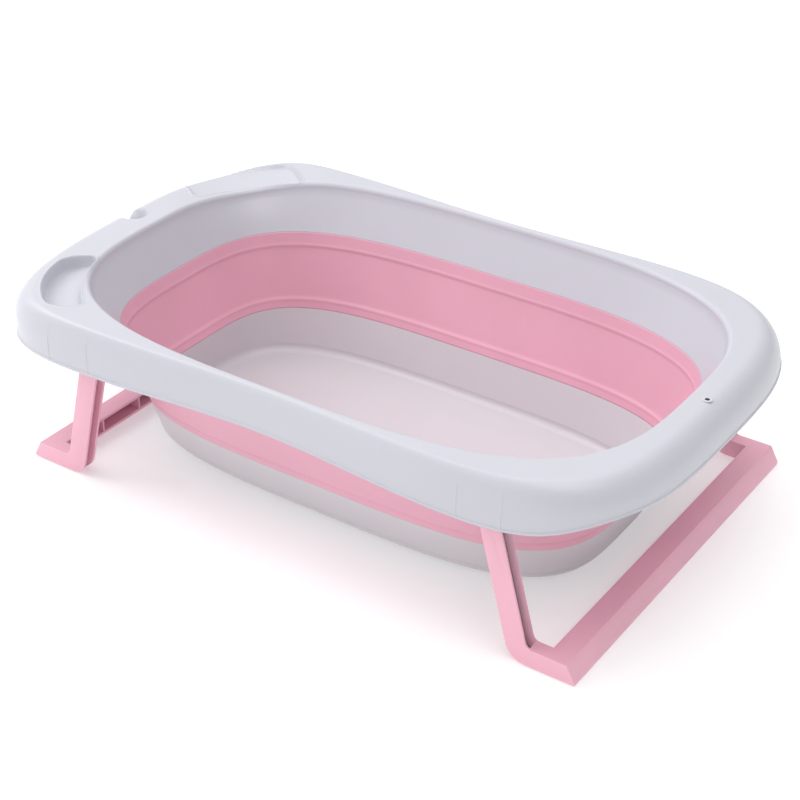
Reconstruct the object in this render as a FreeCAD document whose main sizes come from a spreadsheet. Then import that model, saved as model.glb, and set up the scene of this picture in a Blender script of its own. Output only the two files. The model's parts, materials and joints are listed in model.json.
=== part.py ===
import FreeCAD, Part
import math
import os
from FreeCAD import Placement, Rotation, Vector

# Collapsible pet bathtub, open on its two leg frames. Millimetres, +Z up.
# X runs along the tub: the head end, with the soap dish, is at -X and the foot end at +X.
# The origin is on the floor, under the middle of the rim.

DIMENSIONS = {
    # rim
    "tub_length": 820,
    "tub_width": 506,
    "rim_top": 210,
    "skirt_depth": 56,
    "side_lift": 8,
    "foot_lift": 17,
    "waist_depth": 8,
    "head_rim": 64,
    "foot_rim": 47,
    "side_rim": 24,
    "end_roll": 28,
    "side_roll": 11,
    "roll_height": 34,
    "wall": 2.4,
    "lip_drop": 7,
    "lip_flare": 5,
    # soft band and basin, as heights below the rim top and steps inward
    "collar_height": 56,
    "collar_step_x": 23,
    "collar_step_y": 27,
    "band_height": 94,
    "band_step_x": 29,
    "band_step_y": 32,
    "band_top_shift": 3,
    "band_foot_shift": 2,
    "floor_gap": 4,
    "basin_step_x": 7,
    "basin_step_y": 17,
    "floor_shift": -4,
    "floor_radius": 12,
    # soap dish and tray in the head end of the rim, measured in from its end and sides
    "dish_head_x": 56,
    "dish_head_y": 134,
    "dish_side_x": 125,
    "dish_side_y": 32.5,
    "dish_width": 40,
    "dish_outer_bulge": 18,
    "dish_inner_bulge": 15.5,
    "dish_corner": 14,
    "dish_depth": 15,
    "dish_round": 6,
    "tray_head_x": 44,
    "tray_head_y": 167,
    "tray_side_x": 129,
    "tray_side_y": 52,
    "tray_width": 32,
    "tray_bulge": 22,
    "tray_corner": 12,
    "tray_depth": 5,
    "tray_round": 2.5,
    "notch_radius": 17.5,
    "notch_reach": 25.5,
    "notch_depth": 26,
    # hanging eyelet
    "eyelet_edge": 27,
    "eyelet_bore": 2.6,
    "eyelet_outer": 5.5,
    "eyelet_lip": 1.2,
    "eyelet_tail": 2,
    # leg frames
    "leg_centre": 16,
    "leg_end_inset": 48.4,
    "leg_side_inset": 15.5,
    "leg_splay": 107.6,
    "arm_thickness": 17,
    "arm_width": 24,
    "arm_lean": 0.26,
    "bar_width": 34,
    "bar_height": 21,
    "bar_bevel": 10,
    "toe_height": 3,
    "toe_wall": 1,
    "rib_thickness": 2,
    "bend_radius": 23,
    "inner_radius": 8,
    "leg_wall": 3,
    "pivot_drop": 35,
    "pin_radius": 3,
    "pin_clearance": 0.05,
    "cheek_gap": 0.5,
    "cheek_thickness": 3,
    "cheek_length": 28,
    "cheek_drop": 10,
    "boss_drop": 16,
    "pin_overrun": 3,
    "cap_rim": 3,
    "cap_thickness": 2.5,
    "pad_lift": 1.5,
    "pad_radius": 7,
    "pad_neck": 5,
    "pad_knob": 6,
    "pad_offset": 60,
    # drain
    "drain_inset": 75,
    "drain_bore": 16,
    "seat_wall": 2.5,
    "seat_flange": 5,
    "seat_lip": 2,
    "plug_clearance": 0.05,
    "plug_tail": 1,
    "plug_cap_overhang": 1,
    "plug_cap_height": 3,
    "plug_stub_foot": 4,
    "plug_stub_head": 6,
    "plug_stub_height": 8,
}

RING_POINTS = 40
# Each skin is made of four faces, which meet on the tub's centre lines
QUARTERS = [(part * RING_POINTS / 4, (part + 1) * RING_POINTS / 4) for part in range(4)]
# Exponents along X and Y that square off the rim's outline, and its widening toward the head end
OUTLINE_FOOT = (6.0, 3.4)
OUTLINE_HEAD = (11.0, 2.6)
OUTLINE_TAPER = 0.008
# How far a cubic's handles reach toward the corner of a quarter-round
ROUND_PULL = 0.5523
# Exponents that square off the tub wall at its lip, band top, band foot and heel
LIP_POWER, BAND_TOP_POWER, BAND_FOOT_POWER, HEEL_POWER = 3.26, 3.34, 3.8, 3.6
# How far the waist in the long sides reaches from the middle, as a share of the half length
WAIST_REACH = 0.4
# Where the skirt's lower edge climbs toward the foot end, as shares of the half length
LIFT_START, LIFT_RUN = 0.73, 0.22
BAR_BAYS = 7
# How far a cutting tool runs past the face that it cuts
TOOL_EXTRA = 5
NODES = {}

doc = FreeCAD.newDocument("pet_bathtub")
sheet = doc.addObject("Spreadsheet::Sheet", "sizes")
for row, (alias, value) in enumerate(DIMENSIONS.items(), 1):
    sheet.set(f"A{row}", alias)
    sheet.set(f"B{row}", str(value))
    sheet.setAlias(f"B{row}", alias)
doc.recompute()


def size(alias):
    return float(sheet.get(alias))


def bind(item, **expressions):
    """Bind properties of a document object to the sheet; a double underscore stands for a dot."""
    for name, expression in expressions.items():
        item.setExpression(name.replace("__", "."), expression)
    return item


def feature(name, shape):
    item = doc.addObject("Part::Feature", name)
    item.Shape = shape
    return item


def cut(name, base, tool):
    item = doc.addObject("Part::Cut", name)
    item.Base, item.Tool, item.Refine = base, tool, False
    return item


def common(name, base, tool):
    item = doc.addObject("Part::Common", name)
    item.Base, item.Tool, item.Refine = base, tool, False
    return item


def fuse(name, *shapes):
    item = doc.addObject("Part::MultiFuse", name)
    item.Shapes, item.Refine = list(shapes), False
    return item


def cylinder(name, axis=None, **expressions):
    item = doc.addObject("Part::Cylinder", name)
    if axis is not None:
        item.Placement = Placement(Vector(), Rotation(Vector(0, 0, 1), axis))
    return bind(item, **expressions)


def node(name, item):
    """Give a finished sub-part the label that names its file."""
    item.Label = name
    NODES[name] = item
    return item


# ---------------------------------------------------------------- rings and skins

def ring(level, half_x, half_y, foot, head, shift=0, waist=0, side_lift=0, foot_lift=0, taper=0):
    """A closed, rounded-oblong wire: |x/a|^p + |y/b|^q = 1, with its own p and q at each end.

    The waist pinches the middle of the long sides in. The lifts raise them and the foot end.
    """
    points = []
    for step in range(RING_POINTS):
        angle = 2 * math.pi * step / RING_POINTS
        along, across = math.cos(angle), math.sin(angle)
        power_x = (foot[0] + head[0]) / 2 + (foot[0] - head[0]) / 2 * along
        power_y = (foot[1] + head[1]) / 2 + (foot[1] - head[1]) / 2 * along
        turn = math.atan2(abs(across) ** (power_y / 2), abs(along) ** (power_x / 2))
        x = half_x * math.copysign(math.cos(turn) ** (2 / power_x), along)
        y = half_y * math.copysign(math.sin(turn) ** (2 / power_y), across) * (1 - taper * x / half_x)
        middle = math.exp(-(x / (WAIST_REACH * half_x)) ** 2) * math.sin(turn) ** 2
        ramp = min(1, max(0, (x / half_x - LIFT_START) / LIFT_RUN))
        lift = side_lift * middle + foot_lift * ramp ** 2 * (3 - 2 * ramp)
        points.append(Vector(shift + x, y - math.copysign(waist * middle, y), level + lift))
    curve = Part.BSplineCurve()
    curve.interpolate(Points=points, PeriodicFlag=True, Parameters=list(range(RING_POINTS + 1)))
    return curve


def skin(*rings):
    """Faces between two rings, or along a quarter-round from the first to the last of three."""
    rows = [curve.getPoles() for curve in rings]
    if len(rows) == 3:
        start, corner, end = rows
        rows = [start, [a + (c - a) * ROUND_PULL for a, c in zip(start, corner)],
                [e + (c - e) * ROUND_PULL for e, c in zip(end, corner)], end]
    surface = Part.BSplineSurface()
    surface.buildFromPolesMultsKnots([list(row) for row in zip(*rows)], rings[0].getMultiplicities(),
                                     [len(rows), len(rows)], rings[0].getKnots(), [0, 1], True, False,
                                     rings[0].Degree, len(rows) - 1)
    return [surface.toShape(start, end, 0, 1) for start, end in QUARTERS]


def flat(*rings):
    """A level face inside one ring, or between two."""
    wires = [Part.Wire([curve.toShape(start, end) for start, end in QUARTERS]) for curve in rings]
    return Part.makeFace(wires, "Part::FaceMakerBullseye").Faces


def solid(name, faces):
    shell = Part.makeCompound(faces)
    shell.sewShape()
    body = Part.Solid(shell.Shells[0])
    if body.Volume < 0:
        body.reverse()
    return feature(name, body)


def outline_ring(inset, part, level, **lifts):
    """The rim's outline at one level, set in by `inset` and by `part` of the roll-over."""
    roll_x, roll_y = (size("end_roll") - inset) * part, (size("side_roll") - inset) * part
    return ring(level, size("tub_length") / 2 - inset - roll_x, size("tub_width") / 2 - inset - roll_y,
                OUTLINE_FOOT, OUTLINE_HEAD, waist=size("waist_depth"), taper=OUTLINE_TAPER, **lifts)


def roll_rings(inset):
    """Start, corner and end of the quarter-round from the upright skirt to the flat crest."""
    top = size("rim_top") - inset
    start = size("rim_top") - size("roll_height")
    return outline_ring(inset, 0, start), outline_ring(inset, 0, top), outline_ring(inset, 1, top)


def lip_level():
    """The tub wall's middle under the lip as (level, half_x, half_y, squareness, shift)."""
    half_x = (size("tub_length") - size("head_rim") - size("foot_rim")) / 2
    return (size("rim_top") - size("lip_drop"), half_x, size("tub_width") / 2 - size("side_rim"),
            LIP_POWER, (size("head_rim") - size("foot_rim")) / 2)


def band_top_level():
    level, half_x, half_y, power, shift = lip_level()
    return (size("rim_top") - size("collar_height"), half_x - size("collar_step_x"),
            half_y - size("collar_step_y"), BAND_TOP_POWER, shift + size("band_top_shift"))


def band_foot_level():
    level, half_x, half_y, power, shift = band_top_level()
    return (level - size("band_height"), half_x - size("band_step_x"), half_y - size("band_step_y"),
            BAND_FOOT_POWER, lip_level()[-1] + size("band_foot_shift"))


def heel_level():
    level, half_x, half_y, power, shift = band_foot_level()
    return (size("floor_gap") + size("floor_radius"), half_x - size("basin_step_x"),
            half_y - size("basin_step_y"), HEEL_POWER, lip_level()[-1] + size("floor_shift"))


def tub_ring(level, half_x, half_y, squareness, shift, offset=0.0):
    powers = (squareness, squareness)
    return ring(level, half_x + offset, half_y + offset, powers, powers, shift)


def lip_rings(offset):
    """The wall's flare into the crest, on its inner face (offset < 0) or its back (offset > 0)."""
    lip = lip_level()
    top = lip[0] + size("lip_drop") - max(0, 2 * offset)
    spread = size("lip_flare") - max(0, 2 * offset)
    return (tub_ring(*lip, offset=offset), tub_ring(top, *lip[1:], offset=offset),
            tub_ring(top, *lip[1:], offset=offset + spread))


# ---------------------------------------------------------------- rim

def pocket(name, kind, side, growth=0.0):
    """A curved pocket across one head corner (side -1 near, +1 far), open at the top.

    Its two long edges are arcs that bulge toward the corner. With growth it is the pocket's outside.
    """
    half_x, half_y = size("tub_length") / 2, size("tub_width") / 2
    outer_bulge = size(f"{kind}_outer_bulge") if kind == "dish" else size(f"{kind}_bulge")
    inner_bulge = size(f"{kind}_inner_bulge") if kind == "dish" else size(f"{kind}_bulge")
    bottom = size("rim_top") - size(f"{kind}_depth") - growth
    head = Vector(size(f"{kind}_head_x") - half_x, side * (half_y - size(f"{kind}_head_y")), bottom)
    flank = Vector(size(f"{kind}_side_x") - half_x, side * (half_y - size(f"{kind}_side_y")), bottom)
    along = (flank - head).normalize()
    outward = Vector(-abs(along.y), side * along.x, 0)
    reach = outward * (size(f"{kind}_width") / 2 + growth)
    head, flank = head - along * growth, flank + along * growth
    middle = (head + flank) / 2
    edges = [
        Part.Arc(head + reach, middle + reach + outward * outer_bulge, flank + reach),
        Part.LineSegment(flank + reach, flank - reach),
        Part.Arc(flank - reach, middle - reach + outward * inner_bulge, head - reach),
        Part.LineSegment(head - reach, head + reach),
    ]
    face = Part.Face(Part.Wire([edge.toShape() for edge in edges]))
    block = face.extrude(Vector(0, 0, size(f"{kind}_depth") + growth + TOOL_EXTRA))
    upright = [edge for edge in block.Edges if edge.BoundBox.ZLength > edge.BoundBox.DiagonalLength / 2]
    block = block.makeFillet(size(f"{kind}_corner") + growth, upright)
    foot = [edge for edge in block.Edges if edge.BoundBox.ZMax < bottom + growth / 2 + 0.1]
    return feature(name, block.makeFillet(size(f"{kind}_round") + growth, foot))


def hose_notch(name, growth=0.0):
    """The upright U-shaped notch in the middle of the head end, open outward and at the top."""
    radius, bottom = size("notch_radius") + growth, size("rim_top") - size("notch_depth") - growth
    centre, mouth = size("notch_reach") - size("tub_length") / 2, -size("tub_length") / 2 - TOOL_EXTRA
    edges = [
        Part.Arc(Vector(centre, -radius, bottom), Vector(centre + radius, 0, bottom),
                 Vector(centre, radius, bottom)),
        Part.LineSegment(Vector(centre, radius, bottom), Vector(mouth, radius, bottom)),
        Part.LineSegment(Vector(mouth, radius, bottom), Vector(mouth, -radius, bottom)),
        Part.LineSegment(Vector(mouth, -radius, bottom), Vector(centre, -radius, bottom)),
    ]
    face = Part.Face(Part.Wire([edge.toShape() for edge in edges]))
    return feature(name, face.extrude(Vector(0, 0, size("notch_depth") + growth + TOOL_EXTRA)))


def rim_skin():
    """The bare rim: skirt, crest and tub wall as one thin shell that is open underneath."""
    wall, top = size("wall"), size("rim_top")
    band_top = band_top_level()
    skirt_bottom = top - size("skirt_depth")
    lifts = {"side_lift": size("side_lift"), "foot_lift": size("foot_lift")}
    outer_edge = outline_ring(0, 0, skirt_bottom, **lifts)
    inner_edge = outline_ring(wall, 0, skirt_bottom, **lifts)
    outer_roll, inner_roll = roll_rings(0), roll_rings(wall)
    face_lip, back_lip = lip_rings(-wall / 2), lip_rings(wall / 2)
    face_foot, back_foot = tub_ring(*band_top, offset=-wall / 2), tub_ring(*band_top, offset=wall / 2)
    faces = skin(outer_edge, outer_roll[0]) + skin(*outer_roll) + flat(outer_roll[-1], face_lip[-1])
    faces += skin(*face_lip) + skin(face_lip[0], face_foot) + flat(face_foot, back_foot)
    faces += skin(back_foot, back_lip[0]) + skin(*back_lip) + flat(back_lip[-1], inner_roll[-1])
    faces += skin(*inner_roll) + skin(inner_roll[0], inner_edge) + skin(inner_edge, outer_edge)
    return solid("rim_skin", faces)


def clip_block():
    """A solid that lies half a wall inside the rim's outer face, to trim what is added underneath."""
    inset = size("wall") / 2
    rings = roll_rings(inset)
    foot = outline_ring(inset, 0, size("rim_top") - size("skirt_depth"))
    return solid("clip_block", flat(foot) + skin(foot, rings[0]) + skin(*rings) + flat(rings[-1]))


def rim_shell():
    wall = size("wall")
    pockets = [pocket("dish_tub", "dish", -1, wall), pocket("tray_tub", "tray", 1, wall),
               hose_notch("notch_tub", wall)]
    block = clip_block()
    additions = [common(item.Name + "_trimmed", item, block) for item in pockets]
    for side in (-1, 1):
        for end in (-1, 1):
            inner, outer = hinge_cheeks(side, end)
            additions += [inner, common(outer.Name + "_trimmed", outer, block)]
    body = fuse("rim_body", rim_skin(), *additions)
    tools = [pocket("dish_pocket", "dish", -1), pocket("tray_pocket", "tray", 1), hose_notch("notch_cut")]
    tools.append(cylinder("eyelet_hole", Radius="sizes.eyelet_bore + sizes.eyelet_lip",
                          Height="sizes.wall + 2 * sizes.eyelet_tail",
                          Placement__Base__x="sizes.tub_length / 2 - sizes.eyelet_edge",
                          Placement__Base__z="sizes.rim_top - sizes.wall - sizes.eyelet_tail"))
    tools += [pin_bore(f"cheek_bore_{end}_{side}", end, side) for end in (-1, 1) for side in (-1, 1)]
    return node("rim_shell", cut("rim_finished", body, fuse("rim_cuts", *tools)))


def leg_half_width():
    return size("tub_width") / 2 - size("leg_side_inset")


def leg_reach():
    return size("tub_length") / 2 - size("leg_end_inset")


def pivot(end, across=0.0):
    """A point on one hinge axis (end -1 head, +1 foot)."""
    return Vector(size("leg_centre") + end * (leg_reach() - size("leg_splay")), across,
                  size("rim_top") - size("pivot_drop"))


def hinge_cheeks(side, end):
    """Ribs under the rim on both faces of one leg arm; the pin runs through them."""
    arm_outer = leg_half_width()
    arm_inner = arm_outer - size("arm_thickness")
    axis = pivot(end)
    spans = (("inner", arm_inner - size("cheek_gap") - size("cheek_thickness"), size("cheek_thickness")),
             ("outer", arm_outer + size("cheek_gap"), size("leg_side_inset")))
    cheeks = []
    for tag, near, width in spans:
        item = doc.addObject("Part::Box", f"cheek_{tag}_{end}_{side}")
        bind(item, Length="sizes.cheek_length",
             Height="sizes.pivot_drop + sizes.cheek_drop - sizes.wall / 2")
        item.Width = width
        item.Placement.Base = Vector(axis.x - size("cheek_length") / 2, near if side > 0 else -near - width,
                                     axis.z - size("cheek_drop"))
        cheeks.append(item)
    return cheeks


def pin_span():
    """From the inner end of a hinge pin to its outer end, across the tub."""
    inner = leg_half_width() - size("arm_thickness") - size("cheek_gap") - size("cheek_thickness")
    return inner - size("cap_thickness"), leg_half_width() + size("cheek_gap") + size("pin_overrun")


def pin_bore(name, end, side):
    """The bore for one hinge pin, from inside the inner cheek to the pin's outer end."""
    near, far = pin_span()
    near -= TOOL_EXTRA
    item = cylinder(name, Radius="sizes.pin_radius", Height=str(far - near))
    item.Placement = Placement(pivot(end, side * near), Rotation(Vector(0, 0, 1), Vector(0, side, 0)))
    return item


# ---------------------------------------------------------------- band and basin

def collapsible_band():
    band_top, band_foot = band_top_level(), band_foot_level()
    half = size("wall") / 2
    top_in, top_out = tub_ring(*band_top, offset=-half), tub_ring(*band_top, offset=half)
    foot_in, foot_out = tub_ring(*band_foot, offset=-half), tub_ring(*band_foot, offset=half)
    faces = skin(foot_out, top_out) + flat(top_out, top_in) + skin(top_in, foot_in) + flat(foot_in, foot_out)
    return node("collapsible_band", solid("band", faces))


def heel_rings(offset, floor, radius):
    """The quarter-round from the flat floor up to the basin wall."""
    heel = heel_level()
    return (tub_ring(floor, *heel[1:], offset=offset - radius), tub_ring(floor, *heel[1:], offset=offset),
            tub_ring(floor + radius, *heel[1:], offset=offset))


def lower_basin():
    wall = size("wall")
    band_foot = band_foot_level()
    top_out, top_in = tub_ring(*band_foot, offset=wall / 2), tub_ring(*band_foot, offset=-wall / 2)
    outer = heel_rings(wall / 2, size("floor_gap"), size("floor_radius"))
    inner = heel_rings(-wall / 2, size("floor_gap") + wall, size("floor_radius") - wall)
    faces = flat(outer[0]) + skin(*outer) + skin(outer[-1], top_out) + flat(top_out, top_in)
    faces += skin(top_in, inner[-1]) + skin(*inner) + flat(inner[0])
    hole = cylinder("drain_hole", Radius="sizes.drain_bore", Height="sizes.floor_gap + sizes.wall + 2")
    hole.Placement.Base.x = drain_x()
    return node("lower_basin", cut("basin_drained", solid("basin_shell", faces), hole))


def drain_x():
    """The drain's place on the centre line, measured in from the head end of the floor."""
    level, half_x, half_y, power, shift = heel_level()
    return shift - half_x + size("drain_inset")


def drain_seat():
    """A soft ring: a sleeve in the drain hole and a flange on the tub floor."""
    floor_top = "sizes.floor_gap + sizes.wall"
    sleeve = cylinder("seat_sleeve", Radius="sizes.drain_bore", Height="sizes.wall",
                      Placement__Base__z="sizes.floor_gap")
    flange = cylinder("seat_flange_disc", Radius="sizes.drain_bore + sizes.seat_flange",
                      Height="sizes.seat_lip", Placement__Base__z=floor_top)
    bore = cylinder("seat_bore", Radius="sizes.drain_bore - sizes.seat_wall",
                    Height="sizes.floor_gap + sizes.wall + sizes.seat_lip + 1")
    seat = cut("seat_bored", fuse("seat_body", sleeve, flange), bore)
    seat.Placement.Base = Vector(drain_x(), 0, 0)
    return node("drain_seat", seat)


def drain_plug():
    """The stopper: a plug in the seat's bore, a cap on its flange and a stub to pull."""
    seat_top = "sizes.floor_gap + sizes.wall + sizes.seat_lip"
    stem = cylinder("plug_stem", Radius="sizes.drain_bore - sizes.seat_wall - sizes.plug_clearance",
                    Height="sizes.wall + sizes.seat_lip + sizes.plug_tail",
                    Placement__Base__z="sizes.floor_gap")
    cap = cylinder("plug_cap", Radius="sizes.drain_bore + sizes.plug_cap_overhang",
                   Height="sizes.plug_cap_height", Placement__Base__z=seat_top)
    stub = doc.addObject("Part::Cone", "plug_stub")
    bind(stub, Radius1="sizes.plug_stub_foot", Radius2="sizes.plug_stub_head",
         Height="sizes.plug_stub_height", Placement__Base__z=seat_top + " + sizes.plug_cap_height")
    plug = fuse("plug_body", stem, cap, stub)
    plug.Placement.Base = Vector(drain_x(), 0, 0)
    return node("drain_plug", plug)


# ---------------------------------------------------------------- leg frames

def side_outline():
    """Side view of an arm with its foot, in X (outward) and Z, as edges of one closed wire."""
    lift, reach, width, lean = size("pad_lift"), leg_reach(), size("arm_width"), size("arm_lean")
    foot_top = lift + size("bar_height")
    axis = pivot(1) - Vector(size("leg_centre"), 0, 0)
    slope = Vector(lean, 0, -1).normalize()
    side = Vector(1, 0, lean).normalize() * (width / 2)
    inner_top, outer_top = axis - side, axis + side
    corner = inner_top + slope * ((inner_top.z - lift) / -slope.z)
    inner_corner = outer_top + slope * ((outer_top.z - foot_top) / -slope.z)
    turn = math.acos(slope.x)

    def rounded(point, radius):
        """Start, middle and end of the arc that rounds a corner between the arm and the foot."""
        reach_along = radius * math.tan(turn / 2)
        start, finish = point - slope * reach_along, point + Vector(reach_along, 0, 0)
        centre = finish + Vector(0, 0, radius)
        return start, centre + (point - centre).normalize() * radius, finish

    bend, fillet = rounded(corner, size("bend_radius")), rounded(inner_corner, size("inner_radius"))
    bevel_top = Vector(reach - size("bar_bevel"), 0, foot_top)
    toe, toe_bottom = Vector(reach, 0, lift + size("toe_height")), Vector(reach, 0, lift)
    return [
        Part.LineSegment(inner_top, bend[0]), Part.Arc(*bend), Part.LineSegment(bend[2], toe_bottom),
        Part.LineSegment(toe_bottom, toe), Part.LineSegment(toe, bevel_top),
        Part.LineSegment(bevel_top, fillet[2]), Part.Arc(*reversed(fillet)),
        Part.LineSegment(fillet[0], outer_top), Part.Arc(outer_top, axis - slope * (width / 2), inner_top),
    ]


def arm_channels(wire):
    """The hollows in the two arms, open toward the middle of the tub.

    The boss around the hinge pin and the sole of the foot stay solid.
    """
    wall, thick, reach = size("leg_wall"), size("arm_thickness"), leg_reach()
    boss_foot = size("rim_top") - size("pivot_drop") - size("boss_drop")
    hollows = []
    for side in (-1, 1):
        inner = side * (leg_half_width() - thick / 2) - thick / 2
        face = Part.Face(wire)
        face.translate(Vector(-wall, inner + wall, -wall))
        hollow = face.extrude(Vector(0, thick - 2 * wall, 0))
        boss = Part.makeBox(reach, thick, size("rim_top"), Vector(0, inner, boss_foot))
        sole = Part.makeBox(reach, thick, size("pad_lift") + wall, Vector(0, inner, 0))
        hollows.append(hollow.cut(boss).cut(sole))
    return hollows


def bar_channel():
    """The hollow in the crossbar, open toward the middle of the tub, with ribs left across it."""
    wall, lift, reach = size("leg_wall"), size("pad_lift"), leg_reach()
    mouth, floor, roof = reach - size("bar_width"), lift + wall, lift + size("bar_height") - wall
    corners = [Vector(mouth, 0, floor), Vector(reach - wall - size("toe_wall"), 0, floor),
               Vector(reach - wall - size("bar_bevel"), 0, roof), Vector(mouth, 0, roof)]
    face = Part.Face(Part.makePolygon(corners + corners[:1]))
    half = leg_half_width() - size("arm_thickness")
    face.translate(Vector(0, -half, 0))
    channel = face.extrude(Vector(0, 2 * half, 0))
    pitch, rib_thickness = 2 * half / BAR_BAYS, size("rib_thickness")
    for step in range(1, BAR_BAYS):
        rib_start = pitch * step - half - rib_thickness / 2
        channel = channel.cut(Part.makeBox(size("bar_width"), rib_thickness, size("bar_height"),
                                           Vector(mouth, rib_start, lift)))
    return channel


def leg_frame(name, end):
    """Two arms and a crossbar, moulded as one channel that is open toward the middle of the tub."""
    half, thick = leg_half_width(), size("arm_thickness")
    wire = Part.Wire([edge.toShape() for edge in side_outline()])
    face = Part.Face(wire)
    face.translate(Vector(0, -half, 0))
    block = feature(name + "_block", face.extrude(Vector(0, 2 * half, 0)))
    window = feature(name + "_window", Part.makeBox(
        leg_reach(), 2 * (half - thick), size("rim_top") * 2,
        Vector(-size("bar_width"), thick - half, -size("rim_top"))))
    hollow = feature(name + "_hollow", Part.makeCompound(arm_channels(wire) + [bar_channel()]))
    channelled = cut(name + "_channelled", cut(name + "_frame", block, window), hollow)
    hinge_hole = cylinder(name + "_hinge_hole", Radius="sizes.pin_radius + sizes.pin_clearance",
                          Height="sizes.tub_width")
    hinge_hole.Placement = Placement(pivot(1, -size("tub_width") / 2) - Vector(size("leg_centre"), 0, 0),
                                     Rotation(Vector(0, 0, 1), Vector(0, 1, 0)))
    holes = [hinge_hole]
    for side in (-1, 1):
        hole = cylinder(f"{name}_pad_hole_{side}", Radius="sizes.pad_neck", Height="sizes.leg_wall + 2",
                        Placement__Base__y=f"{side} * sizes.pad_offset",
                        Placement__Base__z="sizes.pad_lift - 1")
        hole.Placement.Base.x = leg_reach() - size("bar_width") / 2
        holes.append(hole)
    leg = cut(name + "_bored", channelled, fuse(name + "_holes", *holes))
    half_turn = Rotation(Vector(0, 0, 1), 0 if end > 0 else 180)
    leg.Placement = Placement(Vector(size("leg_centre"), 0, 0), half_turn)
    return node(name, leg)


def pivot_pin(name, end, side):
    """A plain steel hinge pin from its cap to the outer cheek."""
    near, far = pin_span()
    shank = cylinder(name + "_shank", Radius="sizes.pin_radius", Height=str(far - near))
    shank.Placement = Placement(pivot(end, side * near), Rotation(Vector(0, 0, 1), Vector(0, side, 0)))
    return node(name, shank)


def pin_caps():
    """Four push-on caps on the inner ends of the hinge pins."""
    near, far = pin_span()
    caps, bores = [], []
    for end in (-1, 1):
        for side in (-1, 1):
            cap = cylinder(f"cap_{end}_{side}", Radius="sizes.pin_radius + sizes.cap_rim",
                           Height="sizes.cap_thickness")
            cap.Placement = Placement(pivot(end, side * near), Rotation(Vector(0, 0, 1), Vector(0, side, 0)))
            caps.append(cap)
            bores.append(pin_bore(f"cap_bore_{end}_{side}", end, side))
    return node("pivot_pin_caps", cut("caps_bored", fuse("caps", *caps), fuse("cap_bores", *bores)))


def rubber_pad(name, end, side):
    """A rubber stud pressed into the crossbar, with its sole on the floor and its knob in the channel."""
    sole = cylinder(name + "_sole", Radius="sizes.pad_radius", Height="sizes.pad_lift")
    neck = cylinder(name + "_neck", Radius="sizes.pad_neck", Height="sizes.leg_wall",
                    Placement__Base__z="sizes.pad_lift")
    knob = cylinder(name + "_knob", Radius="sizes.pad_radius", Height="sizes.pad_knob",
                    Placement__Base__z="sizes.pad_lift + sizes.leg_wall")
    pad = fuse(name + "_body", sole, neck, knob)
    pad.Placement.Base = Vector(size("leg_centre") + end * (leg_reach() - size("bar_width") / 2),
                                side * size("pad_offset"), 0)
    return node(name, pad)


def hanging_eyelet():
    top = "sizes.rim_top"
    flange = cylinder("eyelet_flange", Radius="sizes.eyelet_outer", Height="sizes.eyelet_lip",
                      Placement__Base__z=top)
    sleeve = cylinder("eyelet_sleeve", Radius="sizes.eyelet_bore + sizes.eyelet_lip",
                      Height="sizes.wall + sizes.eyelet_tail",
                      Placement__Base__z="sizes.rim_top - sizes.wall - sizes.eyelet_tail")
    bore = cylinder("eyelet_bore_cut", Radius="sizes.eyelet_bore",
                    Height="sizes.wall + sizes.eyelet_tail + 2 * sizes.eyelet_lip",
                    Placement__Base__z="sizes.rim_top - sizes.wall - sizes.eyelet_tail")
    eyelet = cut("eyelet_bored", fuse("eyelet_body", flange, sleeve), bore)
    eyelet.Placement.Base = Vector(size("tub_length") / 2 - size("eyelet_edge"), 0, 0)
    return node("hanging_eyelet", eyelet)


# ---------------------------------------------------------------- assembly and files

rim_shell()
collapsible_band()
lower_basin()
drain_seat()
drain_plug()
hanging_eyelet()
pin_caps()
for end_name, end in (("head", -1), ("foot", 1)):
    leg_frame(f"{end_name}_leg_frame", end)
    for side_name, side in (("near", -1), ("far", 1)):
        pivot_pin(f"{end_name}_{side_name}_pivot_pin", end, side)
        rubber_pad(f"{end_name}_{side_name}_pad", end, side)

doc.recompute()
for item in doc.Objects:
    if "Invalid" in item.State or "Error" in item.State:
        raise RuntimeError(f"{item.Name} did not compute: {item.State}")
for name, item in NODES.items():
    if item.Shape.isNull() or not item.Shape.isValid():
        raise RuntimeError(f"{name} has no valid shape")

os.makedirs("parts", exist_ok=True)
for name, item in NODES.items():
    item.Shape.exportStep(f"parts/{name}.step")
    print(name, len(item.Shape.Solids), "solids", round(item.Shape.Volume / 1000, 1), "cm3")
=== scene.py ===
import json
import math

import bmesh
import bpy
import numpy as np
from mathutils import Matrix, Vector


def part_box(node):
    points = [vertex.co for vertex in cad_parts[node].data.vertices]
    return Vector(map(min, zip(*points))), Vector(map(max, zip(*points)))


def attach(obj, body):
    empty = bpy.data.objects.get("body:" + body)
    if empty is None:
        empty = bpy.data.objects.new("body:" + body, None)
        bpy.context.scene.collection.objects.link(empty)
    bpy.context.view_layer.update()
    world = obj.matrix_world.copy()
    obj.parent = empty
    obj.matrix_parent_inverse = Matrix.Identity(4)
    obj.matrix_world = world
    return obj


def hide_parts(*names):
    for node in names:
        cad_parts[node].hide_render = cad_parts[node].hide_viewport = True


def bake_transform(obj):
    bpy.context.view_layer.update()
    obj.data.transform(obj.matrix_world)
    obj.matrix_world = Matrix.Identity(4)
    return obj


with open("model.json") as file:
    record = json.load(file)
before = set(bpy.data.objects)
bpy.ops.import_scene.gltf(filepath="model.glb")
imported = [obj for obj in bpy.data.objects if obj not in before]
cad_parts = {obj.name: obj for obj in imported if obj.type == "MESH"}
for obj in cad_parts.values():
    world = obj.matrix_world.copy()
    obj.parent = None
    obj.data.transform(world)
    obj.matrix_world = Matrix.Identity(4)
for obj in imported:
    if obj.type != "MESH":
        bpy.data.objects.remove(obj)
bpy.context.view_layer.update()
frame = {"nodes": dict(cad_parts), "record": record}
MM = 0.001

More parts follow.
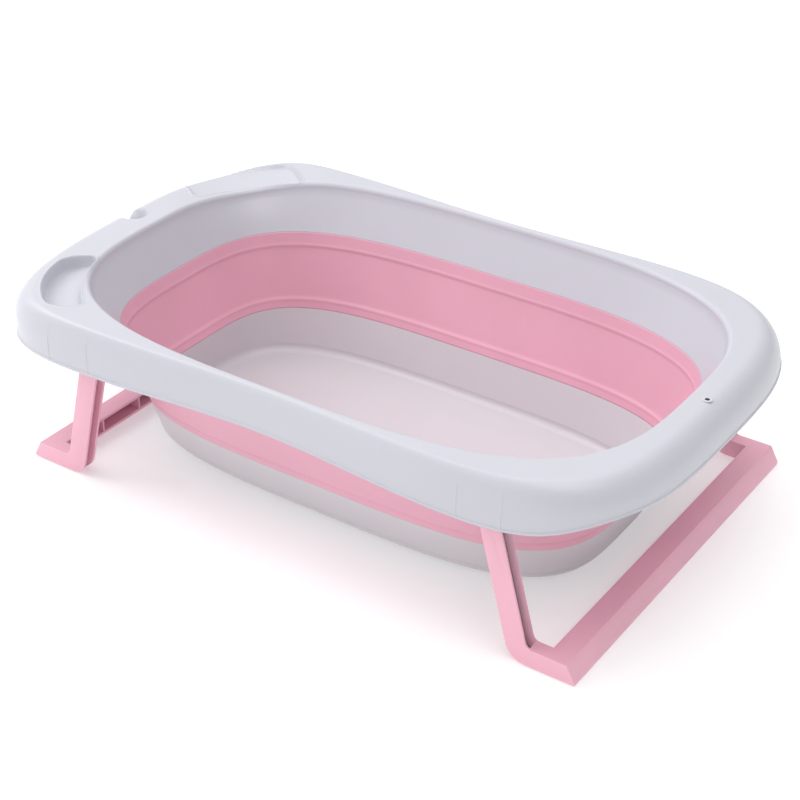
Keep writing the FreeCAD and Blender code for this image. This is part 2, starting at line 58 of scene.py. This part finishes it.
# ---------------------------------------------------------------- camera

CAMERA_AZIMUTH = math.radians(34.5636)
CAMERA_ELEVATION = math.radians(31.5340)
CAMERA_DISTANCE = 2.00542
CAMERA_TARGET = Vector((0.0084, 0.0, 0.0797))
CAMERA_LENS, CAMERA_SENSOR = 78.75, 36.0


def add_camera():
    """The camera looks at the tub from the near side, a little toward the foot end."""
    back = Vector((math.sin(CAMERA_AZIMUTH) * math.cos(CAMERA_ELEVATION),
                   -math.cos(CAMERA_AZIMUTH) * math.cos(CAMERA_ELEVATION),
                   math.sin(CAMERA_ELEVATION)))
    data = bpy.data.cameras.new("camera")
    data.lens, data.sensor_width = CAMERA_LENS, CAMERA_SENSOR
    camera = bpy.data.objects.new("camera", data)
    camera.location = CAMERA_TARGET + back * CAMERA_DISTANCE
    camera.rotation_euler = back.to_track_quat("Z", "Y").to_euler()
    bpy.context.scene.collection.objects.link(camera)
    bpy.context.scene.camera = camera


# ---------------------------------------------------------------- materials

COAT_ROUGHNESS = 0.18
SCATTER_RADIUS = (12 * MM, 6 * MM, 5 * MM)
CLOUD_SCALE, CLOUD_DETAIL = 9.0, 4.0
CLOUD_LOW, CLOUD_HIGH = 0.3, 0.7
GLOSS_SPREAD = 0.15
GRAIN_DETAIL = 3.0


def material(name, colour, roughness, bump_scale=0.0, bump_height=0.0, mottle=0.03, coat=0.0,
             subsurface=0.0):
    """Moulded plastic or rubber: a slightly mottled colour, a fine moulded grain and varied gloss."""
    made = bpy.data.materials.new(name)
    made.use_nodes = True
    nodes, links = made.node_tree.nodes, made.node_tree.links
    shader = nodes["Principled BSDF"]
    shader.inputs["Coat Weight"].default_value = coat
    shader.inputs["Coat Roughness"].default_value = COAT_ROUGHNESS
    shader.inputs["Subsurface Weight"].default_value = subsurface
    shader.inputs["Subsurface Radius"].default_value = SCATTER_RADIUS
    place = nodes.new("ShaderNodeTexCoord")
    cloud = nodes.new("ShaderNodeTexNoise")
    cloud.inputs["Scale"].default_value = CLOUD_SCALE
    cloud.inputs["Detail"].default_value = CLOUD_DETAIL
    links.new(place.outputs["Object"], cloud.inputs["Vector"])
    ramp = nodes.new("ShaderNodeValToRGB")
    darker, lighter = ramp.color_ramp.elements
    darker.position, lighter.position = CLOUD_LOW, CLOUD_HIGH
    darker.color = [c * (1 - mottle) for c in colour] + [1]
    lighter.color = [min(1, c * (1 + mottle)) for c in colour] + [1]
    links.new(cloud.outputs["Fac"], ramp.inputs["Fac"])
    links.new(ramp.outputs["Color"], shader.inputs["Base Color"])
    gloss = nodes.new("ShaderNodeMapRange")
    gloss.inputs["To Min"].default_value = roughness * (1 - GLOSS_SPREAD)
    gloss.inputs["To Max"].default_value = roughness * (1 + GLOSS_SPREAD)
    links.new(cloud.outputs["Fac"], gloss.inputs["Value"])
    links.new(gloss.outputs["Result"], shader.inputs["Roughness"])
    if bump_height:
        grain = nodes.new("ShaderNodeTexNoise")
        grain.inputs["Scale"].default_value = bump_scale
        grain.inputs["Detail"].default_value = GRAIN_DETAIL
        links.new(place.outputs["Object"], grain.inputs["Vector"])
        bump = nodes.new("ShaderNodeBump")
        bump.inputs["Strength"].default_value = 1.0
        bump.inputs["Distance"].default_value = bump_height
        links.new(grain.outputs["Fac"], bump.inputs["Height"])
        links.new(bump.outputs["Normal"], shader.inputs["Normal"])
    return made


MATERIALS = {
    "rim_white": material("rim_white", (0.58, 0.58, 0.64), 0.34, bump_scale=900, bump_height=0.03 * MM,
                          mottle=0.012, coat=0.12, subsurface=0.05),
    "band_pink": material("band_pink", (0.80, 0.41, 0.52), 0.45, bump_scale=700, bump_height=0.05 * MM,
                          mottle=0.03, coat=0.05, subsurface=0.15),
    "basin_white": material("basin_white", (0.63, 0.60, 0.63), 0.34, bump_scale=900, bump_height=0.03 * MM,
                            mottle=0.012, coat=0.12, subsurface=0.05),
    "leg_pink": material("leg_pink", (0.86, 0.46, 0.57), 0.38, bump_scale=900, bump_height=0.04 * MM,
                         mottle=0.03, coat=0.08, subsurface=0.08),
    "steel": material("steel", (0.6, 0.6, 0.62), 0.3),
    "pad_black": material("pad_black", (0.02, 0.02, 0.02), 0.6, bump_scale=900, bump_height=0.06 * MM),
    "seal_grey": material("seal_grey", (0.6, 0.58, 0.6), 0.5),
    "plug_pink": material("plug_pink", (0.80, 0.22, 0.34), 0.5, bump_scale=700, bump_height=0.05 * MM),
    "eyelet_white": material("eyelet_white", (0.62, 0.60, 0.64), 0.2, coat=0.5),
}
NODE_SLOTS = {part["node"]: part["material_slot"] for part in frame["record"]["subparts"]}
NODE_BODIES = {node: body for body, members in frame["record"]["behaviour"]["bodies"].items()
               for node in members}


def paint_nodes():
    """Give every CAD node the material of its slot."""
    for node, slot in NODE_SLOTS.items():
        materials = frame["nodes"][node].data.materials
        materials.clear()
        materials.append(MATERIALS[slot])


# ---------------------------------------------------------------- the frame's rings

RIM_LOW, RIM_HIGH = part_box("rim_shell")
BAND_LOW, BAND_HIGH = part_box("collapsible_band")
HALF_LENGTH, HALF_WIDTH = RIM_HIGH.x, 253 * MM
RIM_TOP = RIM_HIGH.z
WALL = 2.4 * MM

RING_POINTS = 40
OUTLINE_FOOT, OUTLINE_HEAD, OUTLINE_TAPER = (6.0, 3.4), (11.0, 2.6), 0.008
WAIST, WAIST_REACH = 8 * MM, 0.4
SIDE_LIFT, FOOT_LIFT, LIFT_START, LIFT_RUN = 8 * MM, 17 * MM, 0.73, 0.22
END_ROLL, SIDE_ROLL, ROLL_HEIGHT = 28 * MM, 11 * MM, 34 * MM
ROUND_PULL = 0.5523

# Rings of the tub wall's middle: level, half length, half width, roundness power, shift toward the foot
LIP_DROP, LIP_FLARE = 7 * MM, 5 * MM
LIP = (RIM_TOP - LIP_DROP, 354.5 * MM, 229 * MM, 3.26, 8.5 * MM)
BAND_TOP = (BAND_HIGH.z, 331.5 * MM, 202 * MM, 3.34, 11.5 * MM)
BAND_FOOT = (BAND_LOW.z, 302.5 * MM, 170 * MM, 3.8, 10.5 * MM)


def smooth(value):
    """0 below 0, 1 above 1, and an even rise between."""
    held = np.clip(value, 0, 1)
    return held * held * (3 - 2 * held)


def ring(level, half_x, half_y, foot, head, shift=0.0, waist=0.0, side_lift=0.0, foot_lift=0.0, taper=0.0):
    """The control points of one closed, rounded-oblong curve around the tub."""
    angle = 2 * np.pi * np.arange(RING_POINTS) / RING_POINTS
    along, across = np.cos(angle), np.sin(angle)
    power_x = (foot[0] + head[0]) / 2 + (foot[0] - head[0]) / 2 * along
    power_y = (foot[1] + head[1]) / 2 + (foot[1] - head[1]) / 2 * along
    turn = np.arctan2(np.abs(across) ** (power_y / 2), np.abs(along) ** (power_x / 2))
    x = half_x * np.copysign(np.cos(turn) ** (2 / power_x), along)
    y = half_y * np.copysign(np.sin(turn) ** (2 / power_y), across) * (1 - taper * x / half_x)
    middle = np.exp(-(x / (WAIST_REACH * half_x)) ** 2) * np.sin(turn) ** 2
    lift = side_lift * middle + foot_lift * smooth((x / half_x - LIFT_START) / LIFT_RUN)
    points = np.stack([shift + x, y - np.copysign(waist * middle, y), level + lift], axis=-1)
    itself = np.eye(RING_POINTS)
    link = 4 * itself + np.roll(itself, 1, 1) + np.roll(itself, -1, 1)
    return np.linalg.solve(link / 6, points)


def along_ring(control, stations):
    """Points on the closed cubic curve of those control points, at stations from 0 to RING_POINTS."""
    step = np.floor(stations).astype(int)
    part = (stations - step)[:, None]
    weights = ((1 - part) ** 3,
               3 * part ** 3 - 6 * part ** 2 + 4,
               -3 * part ** 3 + 3 * part ** 2 + 3 * part + 1,
               part ** 3)
    return sum(w * control[(step + k - 1) % RING_POINTS] for k, w in enumerate(weights)) / 6


def outline(inset, part, level, **lifts):
    """The rim's outline at one level, set in by `inset` and by `part` of the roll-over."""
    roll_x, roll_y = (END_ROLL - inset) * part, (SIDE_ROLL - inset) * part
    return ring(level, HALF_LENGTH - inset - roll_x, HALF_WIDTH - inset - roll_y, OUTLINE_FOOT, OUTLINE_HEAD,
                waist=WAIST, taper=OUTLINE_TAPER, **lifts)


def tub(level, half_x, half_y, power, shift, offset=0.0):
    """A ring of the tub wall, pushed out by `offset`."""
    return ring(level, half_x + offset, half_y + offset, (power, power), (power, power), shift)


def straight(start, end, steps, last=True):
    """Rows of control points from one ring to another."""
    return [start + (end - start) * step / steps for step in range(steps + (1 if last else 0))]


def rounded(start, corner, end, steps):
    """Rows of control points around a quarter-round."""
    pull_a, pull_b = start + (corner - start) * ROUND_PULL, end + (corner - end) * ROUND_PULL
    rows = []
    for step in range(steps):
        t = step / steps
        rows.append(start * (1 - t) ** 3 + pull_a * 3 * t * (1 - t) ** 2
                    + pull_b * 3 * t ** 2 * (1 - t) + end * t ** 3)
    return rows


def sideways(points):
    """The level outward direction at each point of rows around the tub."""
    tangent = np.roll(points, -1, axis=1) - np.roll(points, 1, axis=1)
    normal = np.stack([tangent[..., 1], -tangent[..., 0], np.zeros(tangent.shape[:2])], axis=-1)
    return normal / np.maximum(np.linalg.norm(normal, axis=-1, keepdims=True), 1e-9)


# ---------------------------------------------------------------- pieces from meshes

def finished(name, mesh, slot):
    """Link a mesh as a piece with outward normals, smooth shading and its slot's material."""
    build = bmesh.new()
    build.from_mesh(mesh)
    bmesh.ops.recalc_face_normals(build, faces=build.faces)
    build.to_mesh(mesh)
    build.free()
    mesh.shade_smooth()
    piece = bpy.data.objects.new(name, mesh)
    bpy.context.scene.collection.objects.link(piece)
    mesh.materials.append(MATERIALS[slot])
    return piece


def finished_build(name, build, slot):
    """The same for a mesh that is still being edited."""
    mesh = bpy.data.meshes.new(name)
    build.to_mesh(mesh)
    build.free()
    return finished(name, mesh, slot)


def grid_piece(name, rows, slot):
    """A closed mesh from rows of points that run around the tub, the last row joined to the first."""
    rows = np.asarray(rows)
    count, around = rows.shape[:2]
    faces = []
    for row in range(count):
        here, there = row * around, (row + 1) % count * around
        for step in range(around):
            ahead = (step + 1) % around
            faces.append((here + step, here + ahead, there + ahead, there + step))
    mesh = bpy.data.meshes.new(name)
    mesh.from_pydata(rows.reshape(-1, 3).tolist(), [], faces)
    return finished(name, mesh, slot)


# ---------------------------------------------------------------- rim

# Stations around the rim: close together over the head end's pockets, closer at the seams
RING_SAMPLES = 8001
POCKETS_BEFORE = -262 * MM
SPACING, POCKET_SPACING, SEAM_SPACING = 5 * MM, 1.2 * MM, 0.4 * MM
SEAM_REACH = 4 * MM

# Rows of the section, from the skirt's edge over the crest and back under it
BEAD_ROWS, SKIRT_ROWS, ROLL_ROWS, CREST_ROWS, LIP_ROWS, WALL_ROWS = 10, 12, 16, 44, 8, 6
BACK_ROWS, UNDER_ROWS, UNDER_ROLL_ROWS, INNER_SKIRT_ROWS = 4, 14, 8, 4
BEAD_PART, WALL_END_PART = 0.2, 0.985

BEAD_HEIGHT, BEAD_REACH = 1.6 * MM, 1.5 * MM
SEAMS = (-288 * MM, -230 * MM, 244 * MM, 291 * MM)
SEAM_HALF, SEAM_RISE, SEAM_TOP, SEAM_FADE = 0.7 * MM, 0.6 * MM, 4 * MM, 18 * MM

# The two curved pockets: `head` and `flank` are the middles of their short edges, `depth` is at the outer
# edge, the inner edge is less deep by `rise`, and `run` is the width of the sloping wall
DISH = {"head": (-354 * MM, -119 * MM), "flank": (-285 * MM, -220.5 * MM), "width": 40 * MM,
        "outer_bulge": 18 * MM, "inner_bulge": 12 * MM, "corner": 13 * MM,
        "depth": 16 * MM, "rise": 4 * MM, "run": 3.6 * MM}
TRAY = {"head": (-377 * MM, 94 * MM), "flank": (-292 * MM, 209 * MM), "width": 60 * MM,
        "outer_bulge": 22 * MM, "inner_bulge": 20 * MM, "corner": 12 * MM,
        "depth": 5 * MM, "rise": -1 * MM, "run": 3 * MM}
POCKET_BEAD, POCKET_BEAD_HALF = 0.9 * MM, 1.6 * MM
TRAY_DIP, DIP_REACH, DIP_FROM = 8 * MM, 0.75, 168 * MM
DIP_INWARD, DIP_EASE = 90 * MM, 40 * MM
NOTCH_RADIUS, NOTCH_CENTRE, NOTCH_DEPTH, NOTCH_RUN = 17.5 * MM, -384.5 * MM, 26 * MM, 4 * MM


def arc(start, end, bulge, outward):
    """Centre and radius of the arc over a chord that bulges by that much."""
    half = np.linalg.norm(end - start) / 2
    radius = (half ** 2 + bulge ** 2) / (2 * bulge)
    return (start + end) / 2 + outward * (bulge - radius), radius


def round_min(first, second, radius):
    """Distance inside two edges, rounded where both are near."""
    corner = radius - np.hypot(radius - np.minimum(first, radius), radius - np.minimum(second, radius))
    return np.where((first < radius) & (second < radius), corner, np.minimum(first, second))


def pocket_axes(pocket):
    """A pocket's two ends, its direction from one to the other, and its outward direction."""
    head, flank = np.array(pocket["head"]), np.array(pocket["flank"])
    along = (flank - head) / np.linalg.norm(flank - head)
    outward = np.array([-abs(along[1]), along[0] * np.sign(head[1])])
    return head, flank, along, outward


def pocket_drop(points, pocket, growth=0.0):
    """How far the crest sinks at each point into one curved pocket; its edge is a low bead."""
    head, flank, along, outward = pocket_axes(pocket)
    reach = outward * pocket["width"] / 2
    outer_centre, outer_radius = arc(head + reach, flank + reach, pocket["outer_bulge"], outward)
    inner_centre, inner_radius = arc(head - reach, flank - reach, pocket["inner_bulge"], outward)
    plan = points[..., :2]
    outer = outer_radius - np.linalg.norm(plan - outer_centre, axis=-1)
    inner = np.linalg.norm(plan - inner_centre, axis=-1) - inner_radius
    ends = np.minimum((plan - head) @ along, (flank - plan) @ along)
    inside = round_min(np.minimum(outer, inner), ends, pocket["corner"]) + growth
    across = np.clip(outer / np.maximum(outer + inner, MM), 0, 1)
    bead = POCKET_BEAD * np.exp(-(inside / POCKET_BEAD_HALF) ** 2)
    return (pocket["depth"] - pocket["rise"] * smooth(across)) * smooth(inside / pocket["run"]) - bead


def notch_drop(points, growth=0.0):
    """How far the rim sinks at each point into the U-shaped notch for a hose."""
    past = np.maximum(points[..., 0] - NOTCH_CENTRE, 0)
    inside = NOTCH_RADIUS + growth - np.hypot(past, points[..., 1])
    return NOTCH_DEPTH * smooth(inside / NOTCH_RUN)


def corner_dip(points):
    """How far the whole corner around the open tray dips below the rest of the crest."""
    head, flank, along, outward = pocket_axes(TRAY)
    from_head = points[..., :2] - head
    place = from_head @ along / np.linalg.norm(flank - head)
    bell = smooth((DIP_REACH - np.abs(place - 0.5)) / DIP_REACH)
    return TRAY_DIP * bell * smooth((from_head @ outward + DIP_INWARD) / DIP_EASE)


def sink(points, under=False):
    """Lower the points of the crest and roll into the dish, the tray and the notch."""
    growth = WALL if under else 0.0
    dip = corner_dip(points)
    points[..., 2] -= dip * smooth((points[..., 2] - DIP_FROM) / (RIM_TOP - DIP_FROM))
    dish, tray = pocket_drop(points, DISH, growth), pocket_drop(points, TRAY, growth)
    drop = np.maximum(np.maximum(dish, tray), notch_drop(points, growth))
    floor = RIM_TOP - growth - dip - drop
    points[..., 2] = np.where(drop > 0, np.minimum(points[..., 2], floor), points[..., 2])
    if not under:
        points[..., 2] -= np.minimum(np.minimum(dish, tray), 0)
    return points


def seam_ridge(points):
    """Height of the thin moulding seams that run down the skirt beside each leg."""
    near = sum(np.exp(-((points[..., 0] - at) / SEAM_HALF) ** 2) for at in SEAMS)
    fade = smooth((RIM_TOP - SEAM_TOP - points[..., 2]) / SEAM_FADE)
    on_side = np.abs(points[..., 1]) > HALF_WIDTH / 2
    return SEAM_RISE * near * fade * on_side


def rim_stations():
    """Stations around the rim, closer together at the pockets and at the seams in the skirt."""
    dense = np.linspace(0, RING_POINTS, RING_SAMPLES)
    points = along_ring(outline(0, 0, RIM_TOP), dense)
    lengths = np.linalg.norm(np.diff(points, axis=0), axis=-1)
    x = points[:-1, 0]
    spacing = np.where(x < POCKETS_BEFORE, POCKET_SPACING, SPACING)
    for seam in SEAMS:
        spacing = np.where(np.abs(x - seam) < SEAM_REACH, SEAM_SPACING, spacing)
    progress = np.concatenate([[0], np.cumsum(lengths / spacing)])
    count = int(progress[-1])
    return np.interp(np.arange(count) * progress[-1] / count, progress, dense)


def skirt_and_crest():
    """Rows of the outside: the skirt from its edge up, and the roll with the crest to the lip."""
    edge = outline(0, 0, RIM_LOW.z, side_lift=SIDE_LIFT, foot_lift=FOOT_LIFT)
    roll_start = outline(0, 0, RIM_TOP - ROLL_HEIGHT)
    roll_corner, roll_end = outline(0, 0, RIM_TOP), outline(0, 1, RIM_TOP)
    lip_top = tub(RIM_TOP, *LIP[1:], offset=LIP_FLARE - WALL / 2)
    bead_end = edge + (roll_start - edge) * BEAD_PART
    skirt = straight(edge, bead_end, BEAD_ROWS, last=False)
    skirt += straight(bead_end, roll_start, SKIRT_ROWS, last=False)
    crest = rounded(roll_start, roll_corner, roll_end, ROLL_ROWS)
    crest += straight(roll_end, lip_top, CREST_ROWS, last=False)
    return skirt, crest


def tub_wall():
    """Rows of the tub wall: its face from the lip down to the band, and its back up again."""
    half = WALL / 2
    lip_top = tub(RIM_TOP, *LIP[1:], offset=LIP_FLARE - half)
    lip_corner, lip_foot = tub(RIM_TOP, *LIP[1:], offset=-half), tub(*LIP, offset=-half)
    band_face, band_back = tub(*BAND_TOP, offset=-half), tub(*BAND_TOP, offset=half)
    back_lip = tub(LIP[0], *LIP[1:], offset=half)
    face_end = lip_foot + (band_face - lip_foot) * WALL_END_PART
    back_end = back_lip + (band_back - back_lip) * WALL_END_PART
    face = rounded(lip_top, lip_corner, lip_foot, LIP_ROWS)
    face += straight(lip_foot, face_end, WALL_ROWS) + [band_face]
    return face, [band_back] + straight(back_end, back_lip, BACK_ROWS)


def underside():
    """Rows of the underside: the crest and roll from below, and the inside of the skirt."""
    under = RIM_TOP - WALL
    back_top = tub(under, *LIP[1:], offset=LIP_FLARE - WALL / 2)
    inner_end, inner_corner = outline(WALL, 1, under), outline(WALL, 0, under)
    inner_start = outline(WALL, 0, RIM_TOP - ROLL_HEIGHT)
    inner_edge = outline(WALL, 0, RIM_LOW.z, side_lift=SIDE_LIFT, foot_lift=FOOT_LIFT)
    below = straight(back_top, inner_end, UNDER_ROWS, last=False)
    below += rounded(inner_end, inner_corner, inner_start, UNDER_ROLL_ROWS)
    return below, straight(inner_start, inner_edge, INNER_SKIRT_ROWS)


def build_rim():
    """The rim: skirt with its bead and seams, rolled crest with its pockets, lip and tub wall."""
    stations = rim_stations()
    sections = [*skirt_and_crest(), *tub_wall(), *underside()]
    skirt, crest, face, back, below, inside = (
        np.stack([along_ring(row, stations) for row in rows]) for rows in sections)
    rise = skirt[..., 2] - skirt[:1, :, 2]
    bead = BEAD_REACH * np.sqrt(np.clip(1 - ((rise - BEAD_HEIGHT) / BEAD_HEIGHT) ** 2, 0, 1))
    skirt = skirt + sideways(skirt) * (bead + seam_ridge(skirt))[..., None]
    crest = crest + sideways(crest) * seam_ridge(crest)[..., None]
    rows = [skirt, sink(crest), sink(face), sink(back, True), sink(below, True), inside]
    rim = grid_piece("rim", np.concatenate(rows), "rim_white")
    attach(rim, "rim")
    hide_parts("rim_shell")


# ---------------------------------------------------------------- small parts of the rim

# Radius, thickness and sides of the black disc of painted shade that stands for the eyelet's hole
EYELET_SHADE_RADIUS, SHADE_DISC_DEPTH, SHADE_DISC_SEGMENTS = 2.5 * MM, 1 * MM, 32
ARM_THICKNESS, CHEEK, CHEEK_GAP, CHEEK_LENGTH, CHEEK_DROP = 17 * MM, 3 * MM, 0.5 * MM, 28 * MM, 10 * MM
CHEEK_TOP = {"inner": WALL, "outer": 15 * MM}
CHEEK_ROUND, ROUND_SEGMENTS = 0.6 * MM, 3


def build_eyelet_bore():
    """A dark disc inside the eyelet, painted shade that stands for the shadowed hole: the shown rim has none
    there.
    """
    low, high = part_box("hanging_eyelet")
    middle = (low + high) / 2
    disc = bmesh.new()
    bmesh.ops.create_cone(disc, cap_ends=True, segments=SHADE_DISC_SEGMENTS, radius1=EYELET_SHADE_RADIUS,
                          radius2=EYELET_SHADE_RADIUS, depth=SHADE_DISC_DEPTH)
    bmesh.ops.translate(disc, vec=(middle.x, middle.y, RIM_TOP), verts=disc.verts)
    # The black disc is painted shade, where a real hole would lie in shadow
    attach(finished_build("eyelet_bore", disc, "pad_black"), "rim")


def build_cheeks():
    """The ribs under the rim that hold the hinge pins, two beside each leg arm."""
    for pin in ("head_near", "head_far", "foot_near", "foot_far"):
        low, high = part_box(pin + "_pivot_pin")
        arm_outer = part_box(pin.split("_")[0] + "_leg_frame")[1].y
        axis, side = (low + high) / 2, math.copysign(1, low.y)
        starts = {"inner": arm_outer - ARM_THICKNESS - CHEEK_GAP - CHEEK, "outer": arm_outer + CHEEK_GAP}
        for tag, start in starts.items():
            height = RIM_TOP - CHEEK_TOP[tag] - axis.z + CHEEK_DROP
            middle = Vector((axis.x, side * (start + CHEEK / 2), axis.z - CHEEK_DROP + height / 2))
            block = bmesh.new()
            bmesh.ops.create_cube(block, size=1)
            bmesh.ops.scale(block, vec=(CHEEK_LENGTH, CHEEK, height), verts=block.verts)
            bmesh.ops.translate(block, vec=middle, verts=block.verts)
            bmesh.ops.bevel(block, geom=block.edges[:], offset=CHEEK_ROUND, segments=ROUND_SEGMENTS,
                            affect="EDGES")
            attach(finished_build(f"{pin}_{tag}_cheek", block, "rim_white"), "rim")


# ---------------------------------------------------------------- soft band

BAND_STATIONS, BAND_ROWS = 480, 60
FOLD_LOW, FOLD_HIGH, FOLD_HALF, FOLD_DEEP = 11 * MM, 16 * MM, 1.2 * MM, 0.9 * MM
FOLD_EASE, SWELL = 4 * MM, 1.2 * MM


def build_band():
    """The folding band: a thin wall with a moulded fold line near each edge and a slight belly."""
    stations = np.linspace(0, RING_POINTS, BAND_STATIONS, endpoint=False)
    height = BAND_TOP[0] - BAND_FOOT[0]
    part = np.linspace(0, height, BAND_ROWS + 1)[:, None]
    folds = sum(np.exp(-((part - at) / FOLD_HALF) ** 2) for at in (FOLD_LOW, height - FOLD_HIGH))
    middle = smooth((part - FOLD_LOW) / FOLD_EASE) * smooth((height - FOLD_HIGH - part) / FOLD_EASE)
    swell = SWELL * middle - FOLD_DEEP * folds
    faces = []
    for offset in (WALL / 2, -WALL / 2):
        foot, top = tub(*BAND_FOOT, offset=offset), tub(*BAND_TOP, offset=offset)
        rows = np.stack([along_ring(row, stations) for row in straight(foot, top, BAND_ROWS)])
        faces.append(rows + sideways(rows) * swell[..., None])
    band = grid_piece("band", np.concatenate([faces[0], faces[1][::-1]]), "band_pink")
    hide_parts("collapsible_band")
    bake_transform(band)


# ---------------------------------------------------------------- carried-over parts with softened edges

GROOVE_INSET, GROOVE_WIDTH, GROOVE_DEPTH, GROOVE_STOP = 2.6 * MM, 0.8 * MM, 1.2 * MM, 34 * MM
OUTBOARD_FACING = 0.2
MERGE_DISTANCE, FLAT_ANGLE, SHARP_ANGLE = 0.005 * MM, math.radians(0.5), math.radians(30)
ROUNDING = {"leg_frame": 1.1 * MM, "pad": 0.6 * MM, "pin": 0.3 * MM, "eyelet": 0.4 * MM,
            "seat": 0.5 * MM, "plug": 0.7 * MM}


def cut_groove(build, side, low, high):
    """Sink a narrow groove down the outboard face of each arm, just inside its outer corner."""
    for edge in (GROOVE_INSET, GROOVE_INSET + GROOVE_WIDTH):
        for level in (high.y - edge, low.y + edge):
            bmesh.ops.bisect_plane(build, geom=build.verts[:] + build.edges[:] + build.faces[:],
                                   plane_co=(0, level, 0), plane_no=(0, 1, 0))
    limit = (high.x if side > 0 else low.x) - side * GROOVE_STOP
    strips = {1: [], -1: []}
    for face in build.faces:
        middle = face.calc_center_median()
        inset = high.y - abs(middle.y)
        outboard = face.normal.x * side > OUTBOARD_FACING and (limit - middle.x) * side > 0
        if outboard and GROOVE_INSET < inset < GROOVE_INSET + GROOVE_WIDTH:
            strips[1 if middle.y > 0 else -1].append(face)
    for faces in strips.values():
        made = set(bmesh.ops.extrude_face_region(build, geom=faces)["geom"])
        moves = {}
        for vert in made:
            if isinstance(vert, bmesh.types.BMVert):
                moves[vert] = sum((face.normal for face in vert.link_faces if face in made), Vector())
        for vert, normal in moves.items():
            vert.co -= normal.normalized() * GROOVE_DEPTH


def soften(node, width):
    """Show a copy of a CAD node with its sharp edges rounded over, as moulded parts have them."""
    mesh = frame["nodes"][node].data.copy()
    build = bmesh.new()
    build.from_mesh(mesh)
    bmesh.ops.remove_doubles(build, verts=build.verts, dist=MERGE_DISTANCE)
    bmesh.ops.dissolve_limit(build, angle_limit=FLAT_ANGLE, verts=build.verts, edges=build.edges)
    if "leg_frame" in node:
        build.normal_update()
        cut_groove(build, 1 if "foot" in node else -1, *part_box(node))
    build.to_mesh(mesh)
    build.free()
    mesh.materials.clear()
    piece = finished(node + "_shown", mesh, NODE_SLOTS[node])
    rounding = piece.modifiers.new("rounding", "BEVEL")
    rounding.width, rounding.segments = width, ROUND_SEGMENTS
    rounding.limit_method, rounding.angle_limit = "ANGLE", SHARP_ANGLE
    rounding.harden_normals = True
    shaped = piece.evaluated_get(bpy.context.evaluated_depsgraph_get())
    piece.data = bpy.data.meshes.new_from_object(shaped)
    piece.modifiers.clear()
    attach(piece, NODE_BODIES[node])
    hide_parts(node)


def build_carried():
    """Soften the legs and the small fittings, each by a width that suits its kind."""
    for node in NODE_SLOTS:
        for kind, width in ROUNDING.items():
            if kind in node:
                soften(node, width)


# ---------------------------------------------------------------- stage

FLOOR_HALF, FLOOR_GLOW = 30, 0.26
SKY_TOWARD = Vector((-0.62, -0.22, 0.75))
SKY_DARK, SKY_BRIGHT, SKY_DARK_BEFORE = 0.40, 1.15, -0.2

# Area lights: name, place, point they face, side of the square, power
LIGHTS = (("key", (-1.6, -0.5, 1.6), (0, 0, 0.1), 1.2, 12),
          ("overhead", (-0.2, 0.6, 2.3), (0, 0, 0.1), 1.8, 10),
          ("fill", (1.0, -0.4, 2.0), (-0.3, 0, 0.15), 1.2, 7))


def add_light(name, place, aim, size, power):
    """A soft square light that faces a point."""
    data = bpy.data.lights.new(name, "AREA")
    data.shape, data.size, data.energy = "SQUARE", size, power
    light = bpy.data.objects.new(name, data)
    light.location = place
    light.rotation_euler = (Vector(place) - Vector(aim)).to_track_quat("Z", "Y").to_euler()
    bpy.context.scene.collection.objects.link(light)


def pale_floor():
    """A near-white floor that glows a little, so that the shadow on it stays soft and light."""
    made = material("floor", (0.86, 0.86, 0.86), 0.8, mottle=0.01)
    shader = made.node_tree.nodes["Principled BSDF"]
    shader.inputs["Emission Color"].default_value = (1, 1, 1, 1)
    shader.inputs["Emission Strength"].default_value = FLOOR_GLOW
    return made


def studio_world():
    """Soft light from all around, brighter from above and from the head end."""
    world = bpy.data.worlds.new("studio")
    world.use_nodes = True
    nodes, links = world.node_tree.nodes, world.node_tree.links
    place, toward = nodes.new("ShaderNodeTexCoord"), nodes.new("ShaderNodeVectorMath")
    toward.operation = "DOT_PRODUCT"
    toward.inputs[1].default_value = SKY_TOWARD
    level = nodes.new("ShaderNodeMapRange")
    level.inputs["From Min"].default_value = SKY_DARK_BEFORE
    level.inputs["From Max"].default_value = 1.0
    level.inputs["To Min"].default_value = SKY_DARK
    level.inputs["To Max"].default_value = SKY_BRIGHT
    links.new(place.outputs["Generated"], toward.inputs[0])
    links.new(toward.outputs["Value"], level.inputs["Value"])
    links.new(level.outputs["Result"], nodes["Background"].inputs["Strength"])
    nodes["Background"].inputs["Color"].default_value = (1, 1, 1, 1)
    bpy.context.scene.world = world


def add_stage():
    """The floor, the world and the lights."""
    build = bmesh.new()
    bmesh.ops.create_grid(build, x_segments=1, y_segments=1, size=FLOOR_HALF)
    floor_mesh = bpy.data.meshes.new("floor")
    build.to_mesh(floor_mesh)
    build.free()
    floor_mesh.materials.append(pale_floor())
    floor = bpy.data.objects.new("floor", floor_mesh)
    bpy.context.scene.collection.objects.link(floor)
    studio_world()
    for light in LIGHTS:
        add_light(*light)
    bpy.context.scene.view_settings.view_transform = "Standard"


paint_nodes()
build_rim()
build_eyelet_bore()
build_cheeks()
build_band()
build_carried()
add_camera()
add_stage()
